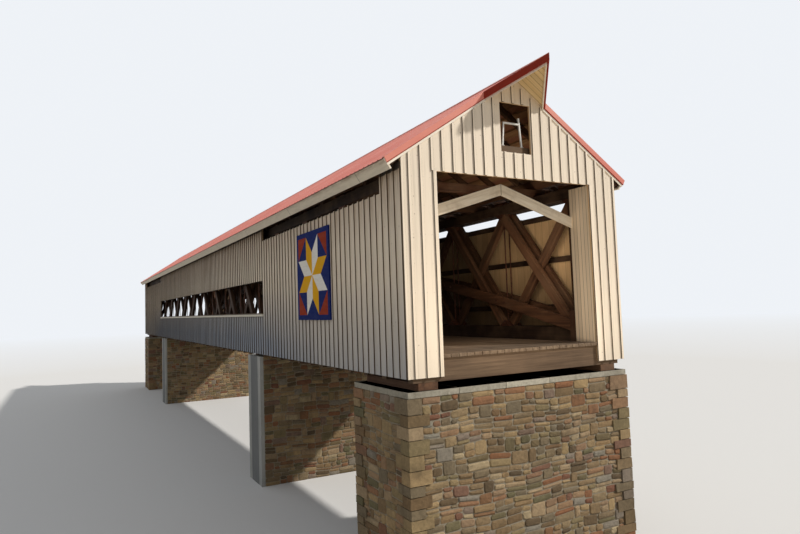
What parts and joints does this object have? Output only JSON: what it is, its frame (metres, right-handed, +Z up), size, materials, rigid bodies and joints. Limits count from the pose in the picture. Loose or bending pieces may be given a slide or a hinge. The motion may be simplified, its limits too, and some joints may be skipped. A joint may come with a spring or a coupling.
{
  "type": "covered bridge, 1:2 scale model",
  "caption": "Half-size timber covered bridge: board walls with long side windows, arch-braced trusses, red gable roof with pointed hoods, on stone abutments and piers.",
  "frame": {"origin": "centre of the bridge's plan, at the foot of the stonework", "axes": "+Z up, +Y along the roadway from the near portal to the far one, +X to the right of someone who enters by the near portal"},
  "size_m": [3.49, 24.834, 5.7555],
  "materials": {
    "stone": "rough rubble masonry",
    "floor_timber": "weathered, matt",
    "dark_timber": "old sawn timber, matt",
    "iron": "dark, slightly rusted",
    "white_boards": "weathered cream paint",
    "white_trim": "weathered white paint",
    "lining_boards": "weathered tan paint",
    "red_roof": "faded salmon-red paint",
    "painted_panel": "painted in flat colours, matt",
    "white_metal": "white paint"
  },
  "bodies": {
    "root": {"abutments": "stone", "piers": "stone", "bed_timbers": "floor_timber", "floor_beams": "floor_timber", "deck": "floor_timber", "lower_chord_left": "dark_timber", "lower_chord_right": "dark_timber", "upper_chord_left": "dark_timber", "upper_chord_right": "dark_timber", "main_braces_left": "dark_timber", "main_braces_right": "dark_timber", "counter_braces_left": "dark_timber", "counter_braces_right": "dark_timber", "arch_left": "dark_timber", "arch_right": "dark_timber", "posts": "dark_timber", "girts_left": "dark_timber", "girts_right": "dark_timber", "girt_blocks": "dark_timber", "tie_beams": "dark_timber", "rafter_plates": "dark_timber", "rafters": "dark_timber", "roof_laths": "dark_timber", "gable_ledges": "dark_timber", "truss_iron_left": "iron", "truss_iron_right": "iron", "left_wall_near": "white_boards", "left_wall_middle": "white_boards", "left_wall_far": "white_boards", "right_wall_near": "white_boards", "right_wall_middle": "white_boards", "right_wall_far": "white_boards", "portal_jambs": "white_boards", "gable_near": "white_boards", "gable_far": "white_boards", "window_sills": "white_trim", "portal_headers": "white_trim", "rake_boards": "white_trim", "eave_fascias": "white_trim", "portal_returns": "lining_boards", "hood_soffits": "lining_boards", "roof_left": "red_roof", "roof_right": "red_roof", "ridge_cap": "red_roof", "quilt_panel": "painted_panel", "gable_bracket": "white_metal"}
  },
  "joints": []
}
